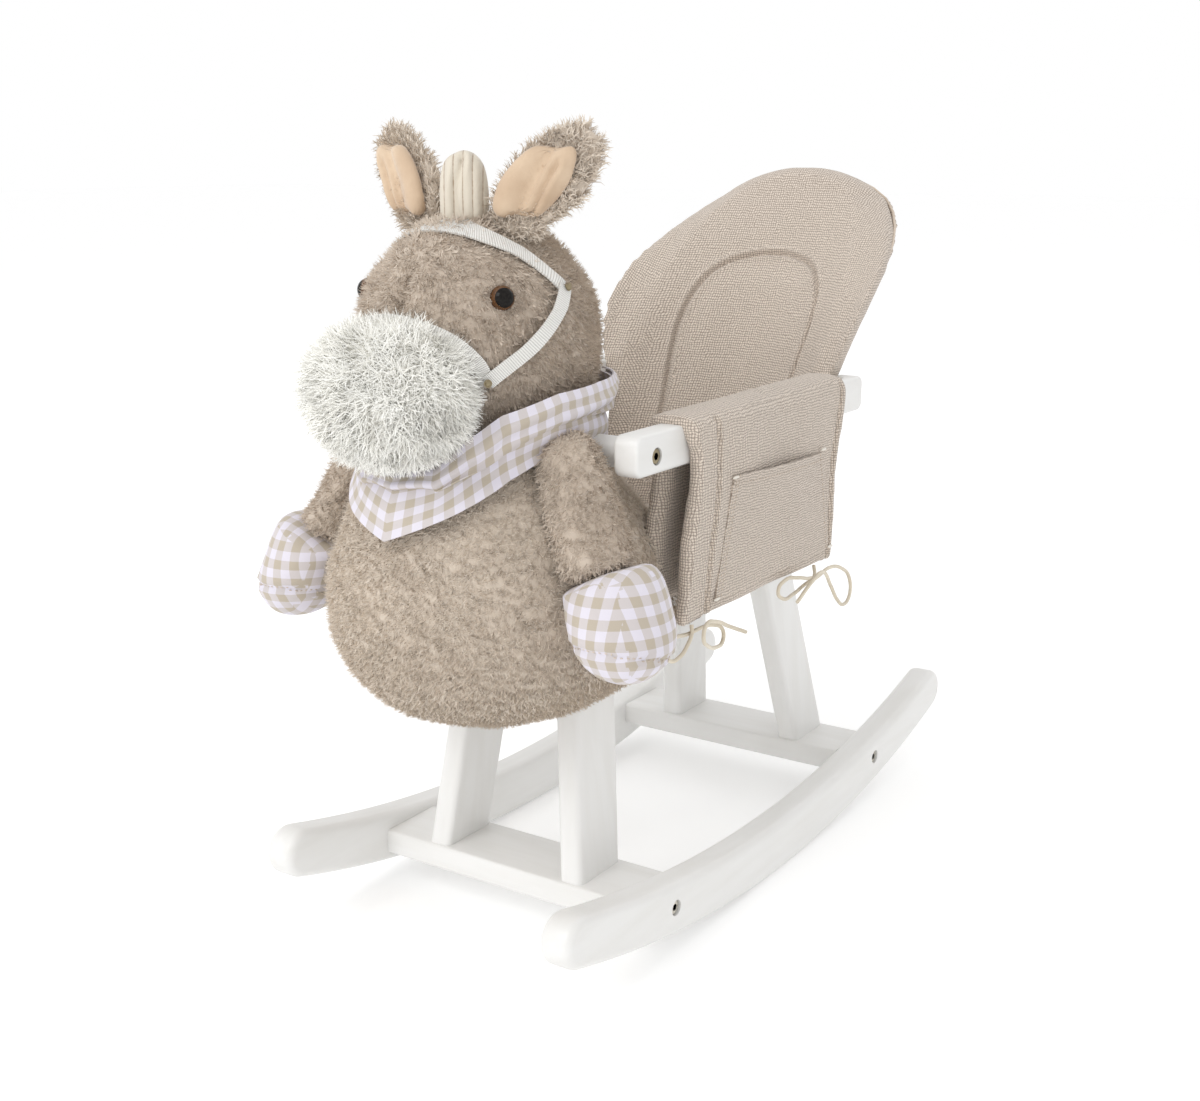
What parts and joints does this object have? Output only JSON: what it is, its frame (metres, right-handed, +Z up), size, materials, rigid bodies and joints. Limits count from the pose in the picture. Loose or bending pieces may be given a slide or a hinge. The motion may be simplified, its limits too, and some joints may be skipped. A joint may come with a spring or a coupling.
{
  "type": "rocking horse",
  "caption": "Wooden rocking horse for a small child: a padded bucket seat with side flaps on two rockers, with a stuffed donkey figure over the front legs.",
  "frame": {"origin": "bottom centre of the whole box, on the floor plane the rockers stand on; the rockers' own middle is at y = +25.5 mm", "axes": "+X to the rider's left side, +Y to the back of the seat, +Z up; the figure faces -Y"},
  "size_m": [0.354, 0.705, 0.597],
  "materials": {
    "painted_wood": "white satin paint over solid wood",
    "bare_wood": "unpainted plywood and pine, hidden under the cover and the plush",
    "nickel_steel": "dull nickel plate",
    "aged_brass": "antique brass",
    "linen_cover": "woven linen look, padded",
    "cotton_cord": "undyed cotton cord",
    "curly_fur": "short curly plush",
    "cream_pile": "long cream plush",
    "velour": "velour",
    "corduroy": "wide wale corduroy",
    "webbing": "ribbed webbing",
    "gingham": "small checked cotton",
    "eye_plastic": "polished"
  },
  "bodies": {
    "frame": {"left_rocker": "painted_wood", "right_rocker": "painted_wood", "front_crossboard": "painted_wood", "rear_crossboard": "painted_wood", "front_left_leg": "painted_wood", "front_right_leg": "painted_wood", "rear_left_leg": "painted_wood", "rear_right_leg": "painted_wood", "seat_board": "bare_wood", "backrest_shell": "bare_wood", "left_arm_rail": "painted_wood", "right_arm_rail": "painted_wood", "front_bar": "painted_wood", "neck_post": "bare_wood", "rocker_bolts": "nickel_steel", "cross_dowel_nuts": "nickel_steel", "leg_screws": "nickel_steel", "seat_screws": "nickel_steel", "post_screws": "nickel_steel", "backrest_screws": "nickel_steel", "rail_bolts": "aged_brass", "rail_screws": "aged_brass", "seat_pad": "linen_cover", "backrest_pad": "linen_cover", "backrest_sleeve": "linen_cover", "left_side_flap": "linen_cover", "right_side_flap": "linen_cover", "left_pocket": "linen_cover", "right_pocket": "linen_cover", "left_front_tie": "cotton_cord", "left_rear_tie": "cotton_cord", "right_front_tie": "cotton_cord", "right_rear_tie": "cotton_cord", "plush_body": "curly_fur", "plush_head": "curly_fur", "muzzle": "cream_pile", "left_eye": "eye_plastic", "right_eye": "eye_plastic", "left_ear": "curly_fur", "right_ear": "curly_fur", "left_ear_lining": "velour", "right_ear_lining": "velour", "forelock": "corduroy", "brow_band": "webbing", "left_cheek_strap": "webbing", "right_cheek_strap": "webbing", "nose_band": "webbing", "bridle_rivets": "aged_brass", "bandana": "gingham"},
    "left_arm": {"left_arm": "curly_fur", "left_hoof": "gingham"},
    "right_arm": {"right_arm": "curly_fur", "right_hoof": "gingham"}
  },
  "joints": [
    {"name": "left_arm_swing", "type": "hinge", "parent": "frame", "child": "left_arm", "pos_m": [0.08, -0.2145, 0.378], "axis": [1, 0, 0], "range_deg": [-25, 0]},
    {"name": "right_arm_swing", "type": "hinge", "parent": "frame", "child": "right_arm", "pos_m": [-0.08, -0.2145, 0.378], "axis": [1, 0, 0], "range_deg": [-25, 0]}
  ]
}
